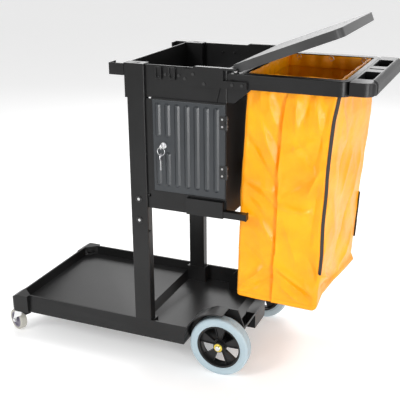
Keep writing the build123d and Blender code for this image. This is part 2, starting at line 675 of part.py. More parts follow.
with BuildPart() as push_handle:
    with BuildSketch(Plane.XZ.offset(-HANDLE_HALF)):
        handle_section(0)
    extrude(amount=2 * HANDLE_HALF)
    # rounded ends in plan
    corner = 36
    with BuildSketch(Plane.XY.offset(HANDLE_Z0 - 5)):
        Rectangle(2000, 2000)
        with BuildLine():
            x0 = FRAME_X1 - 5
            turn_x = HANDLE_X1 - corner
            Polyline((turn_x, HANDLE_HALF), (x0, HANDLE_HALF), (x0, -HANDLE_HALF), (turn_x, -HANDLE_HALF))
            CenterArc((turn_x, -HANDLE_HALF + corner), corner, -90, 90)
            Line((HANDLE_X1, -HANDLE_HALF + corner), (HANDLE_X1, HANDLE_HALF - corner))
            CenterArc((turn_x, HANDLE_HALF - corner), corner, 0, 90)
        make_face(mode=Mode.SUBTRACT)
    extrude(amount=60, mode=Mode.SUBTRACT)
    cup_mid_x = (CUP_X0 + CUP_X1) / 2
    for side in SIDES.values():
        with BuildSketch(Plane.XY.offset(FRAME_TOP + 1)):
            with Locations((cup_mid_x, side * (CUP_Y0 + CUP_Y1) / 2)):
                RectangleRounded(CUP_X1 - CUP_X0, CUP_Y1 - CUP_Y0, 6)
        extrude(amount=-CUP_DEPTH - 1, mode=Mode.SUBTRACT)
    with BuildSketch(Plane.XY.offset(FRAME_TOP + 1)):
        with Locations((cup_mid_x, 0)):
            SlotOverall(CUP_X1 - CUP_X0, 14)
    extrude(amount=-60, mode=Mode.SUBTRACT)
write(push_handle.part, "push_handle")

with BuildPart() as handle_grip:
    grip_half = HANDLE_HALF - corner - 6
    with BuildSketch(Plane.XZ.offset(-grip_half)):
        handle_section(GRIP_T)
        with Locations((380, 970)):
            Rectangle(108, 80, mode=Mode.SUBTRACT)
    extrude(amount=2 * grip_half)
    with BuildSketch(Plane.XZ.offset(-grip_half - 1)):
        handle_section(0)
    extrude(amount=2 * grip_half + 2, mode=Mode.SUBTRACT)
write(handle_grip.part, "handle_grip")

# ---------------------------------------------------------------- lid, drawn along its raised plane
tilt = math.radians(LID_ANGLE)
lid_x = Vector(math.cos(tilt), 0, math.sin(tilt))
lid_up = Vector(-math.sin(tilt), 0, math.cos(tilt))
LID_PLANE = Plane(origin=(LID_PIVOT_X, 0, LID_PIVOT_Z), x_dir=lid_x, z_dir=lid_up)


def lid_outline(shrink):
    """Plan outline of the lid, with round corners at its free end."""
    x0 = LID_REAR + min(shrink, 2.5)
    x1 = LID_FRONT - shrink
    half = LID_HALF - shrink
    corner = 26 - shrink
    with BuildLine() as outline:
        Polyline((x1 - corner, half), (x0, half), (x0, -half), (x1 - corner, -half))
        CenterArc((x1 - corner, -half + corner), corner, -90, 90)
        Line((x1, -half + corner), (x1, half - corner))
        CenterArc((x1 - corner, half - corner), corner, 0, 90)
    make_face(outline.edges())


with BuildPart(LID_PLANE) as lid:
    with BuildSketch(LID_PLANE.offset(LID_FOOT)):
        lid_outline(0)
    extrude(amount=LID_TOP - LID_FOOT)
    fillet(faces().sort_by(SortBy.AREA)[-2:].sort_by(Axis.Z)[-1].edges().sort_by(SortBy.LENGTH)[-1], 2)
    with BuildSketch(LID_PLANE.offset(LID_FOOT)):
        lid_outline(3.5)
    extrude(amount=LID_TOP - LID_FOOT - 3, mode=Mode.SUBTRACT)
    # the rear skirt is short and the side skirts are cut back, so that the lid clears the frame
    span((LID_REAR - 1, 3), (-LID_HALF + 12, LID_HALF - 12), (LID_FOOT - 1, 8), Mode.SUBTRACT)
    span((LID_REAR - 1, 4), (-LID_HALF - 1, LID_HALF + 1), (LID_FOOT - 1, -2.5), Mode.SUBTRACT)
    for side in SIDES.values():
        rod_y(0, 0, reach(side, LID_HALF - 12, LID_HALF - 1), 7)
        rod_y(0, 0, reach(side, LID_HALF - 13, LID_HALF + 1), 3.05, Mode.SUBTRACT)
    for rib_y in (-110, 0, 110):
        span((20, LID_FRONT - 20), (rib_y - 1.5, rib_y + 1.5), (LID_TOP - 9, LID_TOP - 2))
write(lid.part, "lid")

for name, side in SIDES.items():
    with BuildPart() as lid_pin:
        rod_y(LID_PIVOT_X, LID_PIVOT_Z, reach(side, LID_HALF - 11, LID_HALF + 7), 3)
        rod_y(LID_PIVOT_X, LID_PIVOT_Z, reach(side, LID_HALF + 7, LID_HALF + 10), 5)
    write(lid_pin.part, f"lid_pin_{name}")

# ---------------------------------------------------------------- bag and its pegs
with BuildPart() as bag:
    # the bag leans towards the cabinet and narrows downwards
    side_plate(
        [(46, BAG_FOOT_Z), (73, BAG_TOP_Z), (359.5, BAG_TOP_Z), (320, BAG_FOOT_Z)],
        (-BAG_HALF, BAG_HALF),
    )
    fillet(edges().filter_by(lambda edge: edge.length > 600), 4)
    side_plate(
        [
            (46 + 2 * BAG_SKIN, BAG_FOOT_Z + BAG_SKIN),
            (73 + BAG_SKIN, BAG_TOP_Z + 1),
            (359.5 - BAG_SKIN, BAG_TOP_Z + 1),
            (320 - BAG_SKIN, BAG_FOOT_Z + BAG_SKIN),
        ],
        (-BAG_HALF + BAG_SKIN, BAG_HALF - BAG_SKIN),
        Mode.SUBTRACT,
    )
    for side in SIDES.values():
        for peg_x in (118, 225, 332):
            rod_y(peg_x, 978, reach(side, 190, 196), 3.3, Mode.SUBTRACT)
write(bag.part, "bag")

with BuildPart() as bag_pegs:
    for side in SIDES.values():
        for peg_x in (118, 225, 332):
            rod_y(peg_x, 978, reach(side, 191, 197), 3)
            rod_y(peg_x, 978, reach(side, 189, 191.6), 5)
write(bag_pegs.part, "bag_pegs")

# ---------------------------------------------------------------- rear axle and wheels
with BuildPart() as rear_axle:
    rod_y(0, WHEEL_R, (-AXLE_END, AXLE_END), AXLE_R)
write(rear_axle.part, "rear_axle")

for name, side in SIDES.items():
    wheel_mid = (WHEEL_IN + WHEEL_OUT) / 2
    axle_line = Axis((0, 0, WHEEL_R), (0, 1, 0))
    with BuildPart() as wheel_tyre:
        with BuildSketch(Plane.YZ):
            with Locations((side * wheel_mid, WHEEL_R + (RIM_R + WHEEL_R) / 2)):
                RectangleRounded(WHEEL_OUT - WHEEL_IN, WHEEL_R - RIM_R, 8)
            with Locations((side * wheel_mid, WHEEL_R + RIM_R + 5)):
                Rectangle(WHEEL_OUT - WHEEL_IN - 4, 10)
            for groove in (-12, -4, 4, 12):
                with Locations((side * wheel_mid + groove, 2 * WHEEL_R)):
                    Rectangle(1.8, 2.4, mode=Mode.SUBTRACT)
        revolve(axis=axle_line)
    write(wheel_tyre.part, f"wheel_tyre_{name}")

    with BuildPart() as wheel_hub:
        rod_y(0, WHEEL_R, reach(side, WHEEL_IN + 3, WHEEL_OUT - 3), RIM_R)
        rod_y(0, WHEEL_R, reach(side, WHEEL_IN + 2, WHEEL_OUT - 2), RIM_R - 6, Mode.SUBTRACT)
        rod_y(0, WHEEL_R, reach(side, wheel_mid - 5, wheel_mid + 3), RIM_R - 5)
        rod_y(0, WHEEL_R, reach(side, WHEEL_IN + 0.2, WHEEL_OUT), 17)
        face = wheel_mid + 3
        # raised lips round the openings between the spokes; one spoke points straight up
        openings = [54 + opening * 360 / SPOKES for opening in range(SPOKES)]
        for middle in openings:
            with BuildSketch(Plane.XZ.offset(-reach(side, face, face + 4)[1])):
                ring_sector((0, WHEEL_R), 20, 67, middle - 22, middle + 22)
            extrude(amount=4)
        for middle in openings:
            with BuildSketch(Plane.XZ.offset(-reach(side, face - 12, face + 12)[1])):
                ring_sector((0, WHEEL_R), 23, 65, middle - 19.5, middle + 19.5)
            extrude(amount=24, mode=Mode.SUBTRACT)
        rod_y(0, WHEEL_R, reach(side, WHEEL_IN - 1, WHEEL_OUT + 1), HUB_BORE_R, Mode.SUBTRACT)
    write(wheel_hub.part, f"wheel_hub_{name}")

    with BuildPart() as axle_washer:
        rod_y(0, WHEEL_R, reach(side, WHEEL_OUT + 0.3, WHEEL_OUT + 2), 14)
        rod_y(0, WHEEL_R, reach(side, WHEEL_OUT, WHEEL_OUT + 3), AXLE_R, Mode.SUBTRACT)
    write(axle_washer.part, f"axle_washer_{name}")

    with BuildPart() as axle_cap:
        rod_y(0, WHEEL_R, reach(side, WHEEL_OUT + 2, WHEEL_OUT + 9), 8.5)
        cap_edges = edges().filter_by(GeomType.CIRCLE).sort_by(Axis.Y)
        fillet(cap_edges[0] if side < 0 else cap_edges[-1], 3)
        rod_y(0, WHEEL_R, reach(side, WHEEL_OUT + 1, AXLE_END), AXLE_R, Mode.SUBTRACT)
    write(axle_cap.part, f"axle_cap_{name}")

# ---------------------------------------------------------------- front casters
turn = math.radians(CASTER_TURN)
roll_dir = Vector(math.cos(turn), math.sin(turn), 0)
side_dir = Vector(-math.sin(turn), math.cos(turn), 0)
for name, side in SIDES.items():
    swivel = Vector(CASTER_X, side * CASTER_Y, 0)
    caster_plane = Plane(origin=swivel, x_dir=roll_dir, z_dir=(0, 0, 1))

    with BuildPart() as caster_plate:
        with BuildSketch(Plane.XY.offset(PLATE_Z - 2.5)):
            with Locations((swivel.X, swivel.Y)):
                RectangleRounded(CASTER_PLATE, CASTER_PLATE, 5)
        extrude(amount=2.5)
        rod_z(swivel.X, swivel.Y, (CROWN_Z + 3.8, PLATE_Z - 2.5), 19)
        rod_z(swivel.X, swivel.Y, (CROWN_Z, PLATE_Z + 1), 4.9, Mode.SUBTRACT)
    write(caster_plate.part, f"caster_plate_{name}")

    with BuildPart() as caster_kingpin:
        rod_z(swivel.X, swivel.Y, (CROWN_Z - 0.5, PLATE_Z - 1), 4.9)
        rod_z(swivel.X, swivel.Y, (CROWN_Z - 3.4, CROWN_Z - 0.3), 8)
    write(caster_kingpin.part, f"caster_kingpin_{name}")

    with BuildPart(caster_plane) as caster_fork:
        span((-22, 17), (-17, 17), (CROWN_Z, CROWN_Z + 3.5))
        rod_z(0, 0, (CROWN_Z, CROWN_Z + 3.5), 20)
        for leg_y in (-17, 14.5):
            leg_plane = Plane(origin=swivel + side_dir * (leg_y + 2.5), x_dir=roll_dir, z_dir=-side_dir)
            with BuildSketch(leg_plane):
                with BuildLine():
                    Polyline(
                        (16, CROWN_Z + 3.5),
                        (-22, CROWN_Z + 3.5),
                        (-CASTER_TRAIL - 8, CASTER_R + 6),
                        (-CASTER_TRAIL - 8, CASTER_R),
                        (-CASTER_TRAIL + 8, CASTER_R),
                        (-CASTER_TRAIL + 12, CASTER_R + 14),
                        (14, 74),
                        close=True,
                    )
                make_face()
                with Locations((-CASTER_TRAIL, CASTER_R)):
                    Circle(8)
            extrude(amount=2.5)
        rod_y(-CASTER_TRAIL, CASTER_R, (-18, 18), 4, Mode.SUBTRACT)
        rod_z(0, 0, (CROWN_Z - 1, CROWN_Z + 5), 5, Mode.SUBTRACT)
    write(caster_fork.part, f"caster_fork_{name}")

    with BuildPart(caster_plane) as caster_tab:
        span((8, 36), (-11, 11), (CROWN_Z - 3, CROWN_Z))
        fillet(edges().filter_by(Axis.Z), 3)
    write(caster_tab.part, f"caster_tab_{name}")

    with BuildPart(caster_plane) as caster_axle:
        rod_y(-CASTER_TRAIL, CASTER_R, (-17, 17), 4)
        for y in ((-21, -17), (17, 21)):
            rod_y(-CASTER_TRAIL, CASTER_R, y, 6)
    write(caster_axle.part, f"caster_axle_{name}")

    with BuildPart(caster_plane) as caster_core:
        rod_y(-CASTER_TRAIL, CASTER_R, (-CASTER_HALF + 1, CASTER_HALF - 1), 29)
        for y in ((-CASTER_HALF, -CASTER_HALF + 5), (CASTER_HALF - 5, CASTER_HALF)):
            rod_y(-CASTER_TRAIL, CASTER_R, y, 24, Mode.SUBTRACT)
        rod_y(-CASTER_TRAIL, CASTER_R, (-14.2, 14.2), 9)
        rod_y(-CASTER_TRAIL, CASTER_R, (-15, 15), 4.05, Mode.SUBTRACT)
    write(caster_core.part, f"caster_core_{name}")

    with BuildPart(caster_plane) as caster_tread:
        rod_y(-CASTER_TRAIL, CASTER_R, (-CASTER_HALF, CASTER_HALF), CASTER_R)
        fillet(edges().filter_by(GeomType.CIRCLE), 3)
        rod_y(-CASTER_TRAIL, CASTER_R, (-CASTER_HALF - 1, CASTER_HALF + 1), 29, Mode.SUBTRACT)
    write(caster_tread.part, f"caster_tread_{name}")
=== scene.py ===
import json
import math

import bmesh
import bpy
from mathutils import Matrix, Vector, noise


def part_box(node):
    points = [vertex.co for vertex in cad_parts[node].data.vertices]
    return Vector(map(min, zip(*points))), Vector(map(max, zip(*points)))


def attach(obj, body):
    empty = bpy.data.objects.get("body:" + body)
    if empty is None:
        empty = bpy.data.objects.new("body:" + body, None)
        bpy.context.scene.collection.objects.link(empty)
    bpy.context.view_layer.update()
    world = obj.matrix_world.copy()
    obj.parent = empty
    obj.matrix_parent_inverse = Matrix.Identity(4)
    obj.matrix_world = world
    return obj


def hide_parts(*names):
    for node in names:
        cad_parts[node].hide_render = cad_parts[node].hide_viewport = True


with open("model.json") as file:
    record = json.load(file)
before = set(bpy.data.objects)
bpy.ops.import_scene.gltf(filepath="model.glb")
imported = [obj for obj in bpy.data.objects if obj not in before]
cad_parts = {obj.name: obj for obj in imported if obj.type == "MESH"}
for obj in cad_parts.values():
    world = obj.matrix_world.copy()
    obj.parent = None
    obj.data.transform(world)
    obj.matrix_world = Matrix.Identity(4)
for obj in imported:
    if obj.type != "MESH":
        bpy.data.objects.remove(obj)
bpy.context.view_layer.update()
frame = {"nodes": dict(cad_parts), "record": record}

low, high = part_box("rear_axle")
AXLE = (low + high) / 2


def at(x, y, z):
    """A point given in millimetres from the rear axle's middle, with z up from the floor."""
    return Vector((AXLE.x + x / 1000, AXLE.y + y / 1000, z / 1000))


# ---------------------------------------------------------------- finishes


class Wire:
    """A socket of a finish that sums, differences, products and powers can be written with."""

    def __init__(self, finish, socket):
        self.finish = finish
        self.socket = socket

    def maths(self, operation, first, second):
        return self.finish.node("ShaderNodeMath", {"operation": operation}, {0: first, 1: second})

    def __add__(self, other):
        return self.maths("ADD", self, other)

    def __sub__(self, other):
        return self.maths("SUBTRACT", self, other)

    def __rsub__(self, other):
        return self.maths("SUBTRACT", other, self)

    def __mul__(self, other):
        return self.maths("MULTIPLY", self, other)

    def __pow__(self, other):
        return self.maths("POWER", self, other)

    __radd__ = __add__
    __rmul__ = __mul__


class Finish:
    """A material and the one method that adds nodes to it."""

    def __init__(self, name):
        self.material = bpy.data.materials.new(name)
        self.material.use_nodes = True
        self.tree = self.material.node_tree
        self.tree.nodes.clear()
        self.place = self.node("ShaderNodeTexCoord", out="Object")

    def node(self, kind, settings=None, sockets=None, out=0):
        """Add a node with its settings and its sockets' values or links; hand back one output."""
        made = self.tree.nodes.new(kind)
        for key, value in (settings or {}).items():
            if key == "stops":
                for stop, (position, colour) in enumerate(value):
                    if stop > 1:
                        made.color_ramp.elements.new(position)
                    made.color_ramp.elements[stop].position = position
                    made.color_ramp.elements[stop].color = colour
            else:
                setattr(made, key, value)
        for key, value in (sockets or {}).items():
            if isinstance(value, Wire):
                self.tree.links.new(value.socket, made.inputs[key])
            else:
                made.inputs[key].default_value = value
        return Wire(self, made.outputs[out] if len(made.outputs) else made.inputs[0])

    def mix(self, share, first, second):
        """Blend of two colours."""
        sockets = {0: share, 6: first, 7: second}
        return self.node("ShaderNodeMix", {"data_type": "RGBA"}, sockets, 2)

    def sine(self, value):
        return self.node("ShaderNodeMath", {"operation": "SINE"}, {0: value})

    def cloud(self, scale, detail=3.0, roughness=0.55, stretch=(1, 1, 1)):
        """Soft noise from 0 to 1, by the metre."""
        spot = self.node("ShaderNodeMapping", None, {"Vector": self.place, "Scale": stretch})
        values = {"Vector": spot, "Scale": scale, "Detail": detail, "Roughness": roughness}
        return self.node("ShaderNodeTexNoise", None, values)

    def axis(self, index):
        """One coordinate of the point being shaded, in metres."""
        return self.node("ShaderNodeSeparateXYZ", None, {0: self.place}, index)

    def bump(self, height, strength, distance, under=None):
        """Relief from a height, on top of another relief where one is given."""
        sockets = {"Height": height, "Strength": strength, "Distance": distance}
        if under is not None:
            sockets["Normal"] = under
        return self.node("ShaderNodeBump", None, sockets)

    def step(self, value, start, end):
        """0 below start, 1 above end, smooth between."""
        settings = {"interpolation_type": "SMOOTHSTEP"}
        return self.node("ShaderNodeMapRange", settings, {0: value, 1: start, 2: end})

    def close(self, sockets):
        """Connect the finished surface and hand back the material."""
        shader = self.node("ShaderNodeBsdfPrincipled", None, sockets)
        self.node("ShaderNodeOutputMaterial", None, {"Surface": shader})
        return self.material


def grey(value, tint=(1.0, 1.0, 1.0)):
    """A neutral colour, with a slight tint if one is given."""
    return (value * tint[0], value * tint[1], value * tint[2], 1.0)


def moulded(name, dark, light, roughness, grain=900.0, depth=0.00012, coat=0.0, shine=0.3):
    """Injection-moulded plastic: faint flow clouds, fine grain, a few handling scuffs."""
    f = Finish(name)
    flow = f.step(f.cloud(5.0, 3.0), 0.3, 0.7)
    scuff = f.step(f.cloud(38.0, 6.0, 0.7, (1, 1, 0.25)), 0.6, 0.78)
    speck = f.cloud(grain, 2.0)
    pits = f.cloud(grain * 0.35, 2.0)
    colour = f.mix(flow * 0.7 + scuff * 0.3, dark, light)
    return f.close(
        {
            "Base Color": colour,
            "Roughness": speck * 0.1 + scuff * 0.1 + (roughness - 0.05),
            "Specular IOR Level": shine,
            "Coat Weight": coat,
            "Coat Roughness": 0.25,
            "Normal": f.bump(pits * 0.6 + speck * 0.4, 0.35, depth),
        }
    )


def plated(name, colour, second, roughness):
    """Zinc-plated steel: crystal mottling and fine brushed lines."""
    f = Finish(name)
    mottle = f.node("ShaderNodeTexVoronoi", None, {"Vector": f.place, "Scale": 420.0}, "Color")
    blot = f.cloud(160.0, 4.0)
    lines = f.cloud(900.0, 2.0, 0.5, (1, 1, 0.06))
    tone = f.mix(blot, colour, second)
    tone = f.node(
        "ShaderNodeMix",
        {"data_type": "RGBA", "blend_type": "SOFT_LIGHT"},
        {0: 0.12, 6: tone, 7: mottle},
        2,
    )
    return f.close(
        {
            "Base Color": tone,
            "Metallic": 1.0,
            "Roughness": lines * 0.16 + blot * 0.1 + roughness,
            "Normal": f.bump(lines, 0.12, 0.00008),
        }
    )


def tyre_rubber():
    """Pale blue-grey rubber with rolling dust in a band round the tread."""
    f = Finish("tyre_rubber")
    x = f.axis(0) - AXLE.x
    z = f.axis(2) - AXLE.z
    radius = (x * x + z * z) ** 0.5
    dust = f.step(radius, 0.094, 0.101) * f.step(f.cloud(60.0, 5.0), 0.4, 0.75)
    flow = f.cloud(14.0, 4.0)
    colour = f.mix(flow, (0.30, 0.385, 0.43, 1), (0.38, 0.465, 0.505, 1))
    colour = f.mix(dust * 0.5, colour, (0.30, 0.31, 0.31, 1))
    rings = f.sine(radius * 5200.0)
    skin = f.cloud(700.0, 3.0)
    return f.close(
        {
            "Base Color": colour,
            "Roughness": flow * 0.12 + 0.42,
            "Normal": f.bump(skin * 0.7 + rings * 0.12, 0.35, 0.00025),
        }
    )


def fixings():
    """Screw heads: blackened above the cabinet, bare and dull low on the posts."""
    f = Finish("fixings")
    bare = 1.0 - f.step(f.axis(2), 0.62, 0.64)
    blot = f.cloud(220.0, 4.0)
    blackened = f.mix(blot, grey(0.01), grey(0.02))
    zinc = f.mix(blot, grey(0.5), grey(0.7))
    return f.close(
        {
            "Base Color": f.mix(bare, blackened, zinc),
            "Metallic": bare,
            "Roughness": blot * 0.2 + 0.25,
            "Normal": f.bump(blot, 0.2, 0.0001),
        }
    )


# threads of the bag's weave, in radians to the metre
WEAVE = 5200.0


def bag_vinyl():
    """Glossy yellow coated cloth: fine weave under the coating, colour clouded at random."""
    f = Finish("bag_vinyl")
    weft = f.sine((f.axis(0) + f.axis(1)) * WEAVE)
    warp = f.sine(f.axis(2) * WEAVE)
    flow = f.step(f.cloud(9.0, 4.0), 0.3, 0.7)
    crinkle = f.cloud(55.0, 5.0, 0.6)
    rubbed = f.step(f.cloud(30.0, 6.0, 0.7), 0.62, 0.75)
    colour = f.mix(flow, (0.86, 0.285, 0.0, 1), (0.92, 0.355, 0.0, 1))
    colour = f.mix(rubbed * 0.25, colour, (0.95, 0.42, 0.01, 1))
    first = f.bump(crinkle, 0.5, 0.0022)
    return f.close(
        {
            "Base Color": colour,
            "Roughness": crinkle * 0.16 + rubbed * 0.1 + 0.24,
            "Specular IOR Level": 0.34,
            "Normal": f.bump(weft * warp, 0.1, 0.00012, first),
        }
    )


def webbing(name, dark, light, pitch):
    """Woven tape: slanted ribs across the strip."""
    f = Finish(name)
    rib = f.sine(f.axis(2) * pitch + f.axis(0) * pitch * 0.4)
    fuzz = f.cloud(1500.0, 3.0)
    return f.close(
        {
            "Base Color": f.mix(fuzz * 0.6 + rib * 0.2 + 0.1, dark, light),
            "Roughness": fuzz * 0.2 + 0.6,
            "Normal": f.bump(rib * 0.5 + fuzz, 0.4, 0.0002),
        }
    )


BLACK = moulded("body_plastic", grey(0.005), grey(0.011, (1.0, 1.0, 1.04)), 0.34)
DOOR = moulded(
    "door_plastic", (0.016, 0.019, 0.022, 1), (0.026, 0.030, 0.034, 1), 0.30, shine=0.5
)
LID = moulded(
    "lid_plastic", grey(0.022), grey(0.045, (1.0, 1.01, 1.03)), 0.36, 620.0, 0.00030, shine=0.5
)
GRIP = moulded("grip_plastic", grey(0.045), grey(0.07), 0.5, 420.0, 0.0006)
CORE = moulded("core_plastic", (0.16, 0.15, 0.19, 1), (0.24, 0.22, 0.27, 1), 0.4)
TREAD = moulded("tread_rubber", (0.38, 0.37, 0.33, 1), (0.48, 0.46, 0.41, 1), 0.5)
ZINC = plated("zinc_plate", grey(0.62), grey(0.78, (1.0, 1.0, 1.02)), 0.2)
YELLOW_ZINC = plated("yellow_zinc_plate", (0.80, 0.58, 0.06, 1), (0.76, 0.66, 0.16, 1), 0.2)
STEEL = plated("plain_steel", grey(0.42), grey(0.55), 0.28)
BLACK_STEEL = moulded("black_steel", grey(0.006), grey(0.013), 0.3, 1200.0, 0.00005, coat=0.3)
VINYL = bag_vinyl()
TYRE = tyre_rubber()
HUB = moulded(
    "hub_plastic", grey(0.008), grey(0.014, (1.0, 1.0, 1.03)), 0.34, 1100.0, 0.00008
)
FIXINGS = fixings()
TAPE = webbing("zip_tape", (0.012, 0.008, 0.008, 1), (0.03, 0.022, 0.02, 1), 2600.0)
THREAD = webbing("seam_thread", (0.62, 0.25, 0.004, 1), (0.85, 0.38, 0.01, 1), 4200.0)

FINISHES = {
    "lid": LID,
    "lid_pin": STEEL,
    "handle_grip": GRIP,
    "cabinet_door": DOOR,
    "wheel_tyre": TYRE,
    "wheel_hub": HUB,
    "caster_tread": TREAD,
    "caster_core": CORE,
    "caster_fork": ZINC,
    "caster_plate": ZINC,
    "caster_kingpin": ZINC,
    "caster_axle": ZINC,
    "axle_washer": YELLOW_ZINC,
    "axle_cap": ZINC,
    "rear_axle": STEEL,
    "lock_": ZINC,
    "door_key": ZINC,
    "key_ring": ZINC,
    "spare_key": ZINC,
    "hinge_": BLACK_STEEL,
    "hinge_door_screws": STEEL,
    "hinge_frame_screws": STEEL,
    "panel_screws": FIXINGS,
    "bag_pegs": STEEL,
}


def finish_of(node):
    """The longest matching start of a node's name decides its finish."""
    fits = [start for start in FINISHES if node.startswith(start)]
    return FINISHES[max(fits, key=len)] if fits else BLACK


for node, thing in frame["nodes"].items():
    thing.data.materials.clear()
    thing.data.materials.append(finish_of(node))

BODY_OF = {
    node: body
    for body, nodes in frame["record"]["behaviour"]["bodies"].items()
    for node in nodes
}


def keep(form, name, material, body):
    """Turn a finished bmesh into a piece that rides on a body."""
    mesh = bpy.data.meshes.new(name)
    form.to_mesh(mesh)
    form.free()
    thing = bpy.data.objects.new(name, mesh)
    bpy.context.scene.collection.objects.link(thing)
    mesh.materials.append(material)
    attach(thing, body)
    return thing


# an edge sharper than this is rounded, and breaks the smooth shading
SHARP = math.radians(32)


def eased(node, width):
    """A moulding with its edges rounded, standing for the sharp-edged CAD node."""
    form = bmesh.new()
    form.from_mesh(frame["nodes"][node].data)
    bmesh.ops.remove_doubles(form, verts=form.verts, dist=0.00002)
    bmesh.ops.dissolve_limit(
        form,
        angle_limit=math.radians(1.5),
        verts=form.verts,
        edges=form.edges,
        delimit={"NORMAL"},
    )
    thing = keep(form, node + "_eased", finish_of(node), BODY_OF[node])
    for face in thing.data.polygons:
        face.use_smooth = True
    thing.data.set_sharp_from_angle(angle=SHARP)
    bevel = thing.modifiers.new("edges", "BEVEL")
    bevel.width = width
    bevel.segments = 2
    bevel.limit_method = "ANGLE"
    bevel.angle_limit = SHARP
    bevel.use_clamp_overlap = True
    bevel.harden_normals = True
    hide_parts(node)


for node, width in {
    "base_platform": 0.0016,
    "top_tray": 0.0014,
    "bag_frame": 0.0014,
    "push_handle": 0.0016,
    "lower_shelf": 0.0012,
    "cabinet_shell": 0.0012,
    "lid": 0.0012,
    "handle_bracket_near": 0.001,
    "handle_bracket_far": 0.001,
    "hook_arm_near": 0.001,
    "hook_arm_far": 0.001,
    "tool_clips_near": 0.0008,
    "tool_clips_far": 0.0008,
}.items():
    eased(node, width)

# ---------------------------------------------------------------- the bag

ROWS = 158
COLUMNS = 300
BAG_TOP = 986.0
BAG_FOOT = 273.0
CORNER_RADIUS = 16.0
# most that the cloth may stand in or out of its plain walls
MOST_IN = -24.0
MOST_OUT = 9.0
# distance below which two vertices are one, in metres
MERGE = 0.00005
# near side, zip side, far side, cabinet side: share of the columns that each gets
SIDE_SHARES = (0.37, 0.27, 0.16, 0.20)
# the pegs that hold the mouth, by x
PEGS = (118, 225, 332)
# the foot in plan: its cabinet side, its length and half its width
FOOT_LEFT, FOOT_LENGTH, FOOT_HALF = 46, 280, 195


def clamp(value):
    """The value kept between 0 and 1."""
    return max(0.0, min(1.0, value))


def along(table, z):
    """Read a measure off a table of (height, value) pairs."""
    for (z1, v1), (z0, v0) in zip(table, table[1:]):
        if z >= z0:
            return v0 + (v1 - v0) * (z - z0) / (z1 - z0)
    return table[-1][1]


# outline of the bag by height: x of the cabinet side, x of the zip side at its near
# and far corners, and half the width
LEFT = [(990, 74), (940, 73), (700, 60), (440, 50), (273, 46)]
RIGHT_NEAR = [
    (990, 355),
    (940, 348),
    (870, 337),
    (700, 324),
    (550, 319),
    (460, 319),
    (380, 312),
    (273, 303),
]
RIGHT_FAR = [
    (990, 357),
    (940, 362),
    (850, 367),
    (680, 352),
    (440, 336),
    (300, 328),
    (273, 338),
]
HALF = [(990, 194), (930, 196), (700, 197), (440, 196), (273, 194)]


def corners_at(z):
    """The four corners of the bag in plan, from the near one by the cabinet round by the zip."""
    half = along(HALF, z)
    return (
        Vector((along(LEFT, z), -half)),
        Vector((along(RIGHT_NEAR, z), -half)),
        Vector((along(RIGHT_FAR, z), half)),
        Vector((along(LEFT, z), half)),
    )


def outline(z, share):
    """Plan point, side, distance along the side, length of the side and outward direction."""
    corners = corners_at(z)
    share %= 1.0
    side = 0
    while side < 3 and share > SIDE_SHARES[side]:
        share -= SIDE_SHARES[side]
        side += 1
    across = min(1.0, share / SIDE_SHARES[side])
    start, end = corners[side], corners[(side + 1) % 4]
    run = end - start
    span = run.length
    outward = Vector((run.y, -run.x)) / span
    walk = across * span
    spot = start + run * across
    # soften the corner between this side and its neighbour
    gap = min(walk, span - walk)
    if gap < CORNER_RADIUS:
        if walk < span / 2:
            other = corners[(side - 1) % 4] - start
            pull = run.normalized()
        else:
            other = corners[(side + 2) % 4] - end
            pull = (-run).normalized()
        nearness = 1 - gap / CORNER_RADIUS
        spot = spot + (other.normalized() + pull) * (0.29 * CORNER_RADIUS * nearness**2)
        blend = 0.5 * nearness
        outward = (outward * (1 - blend) - pull * blend).normalized()
    return spot, side, walk, span, outward


# creases as (side, along at one end, height, along at the other end, height, depth, width)
CREASES = [
    (0, 10, 930, 110, 770, -9, 15),
    (0, 30, 905, 112, 700, 7, 11),
    (0, 60, 945, 100, 830, 8, 10),
    (0, 8, 800, 112, 655, -8, 12),
    (0, 20, 668, 100, 640, 7, 8),
    (0, 30, 645, 116, 585, -8, 9),
    (0, 20, 620, 110, 520, -6, 13),
    (0, 60, 560, 116, 470, 7, 9),
    (0, 20, 460, 118, 360, -7, 12),
    (0, 6, 300, 104, 405, 9, 10),
    (0, 20, 290, 112, 350, -7, 9),
    (0, 150, 940, 160, 830, 9, 10),
    (0, 185, 945, 178, 860, -8, 9),
    (0, 205, 935, 240, 790, 8, 12),
    (0, 245, 920, 222, 740, -9, 10),
    (0, 165, 800, 225, 720, -8, 13),
    (0, 140, 760, 205, 800, 7, 9),
    (0, 240, 720, 208, 640, 9, 9),
    (0, 132, 600, 212, 586, 9, 6),
    (0, 134, 640, 214, 690, -7, 10),
    (0, 235, 700, 225, 500, -8, 12),
    (0, 145, 540, 190, 430, 6, 12),
    (0, 132, 400, 245, 330, 10, 8),
    (0, 136, 372, 240, 300, -8, 8),
    (0, 150, 330, 238, 284, 8, 8),
    (0, 225, 440, 262, 350, -8, 10),
    (1, 60, 900, 150, 780, 5, 15),
    (1, 180, 800, 110, 640, -7, 16),
    (1, 220, 720, 160, 610, 6, 10),
    (1, 60, 620, 120, 420, 5, 15),
    (1, 250, 560, 190, 380, -7, 14),
    (1, 320, 700, 260, 560, 7, 13),
    (1, 20, 380, 150, 290, 9, 10),
    (1, 30, 330, 190, 282, -8, 9),
    (1, 330, 420, 230, 300, 7, 11),
    (2, 60, 860, 150, 640, 8, 15),
    (2, 220, 800, 130, 520, -8, 16),
    (2, 80, 520, 170, 330, 8, 13),
    (2, 240, 480, 180, 320, 7, 12),
    (3, 80, 880, 180, 660, 8, 17),
    (3, 300, 820, 210, 560, -8, 17),
    (3, 120, 520, 210, 330, 7, 13),
    (3, 320, 460, 240, 320, 7, 12),
]


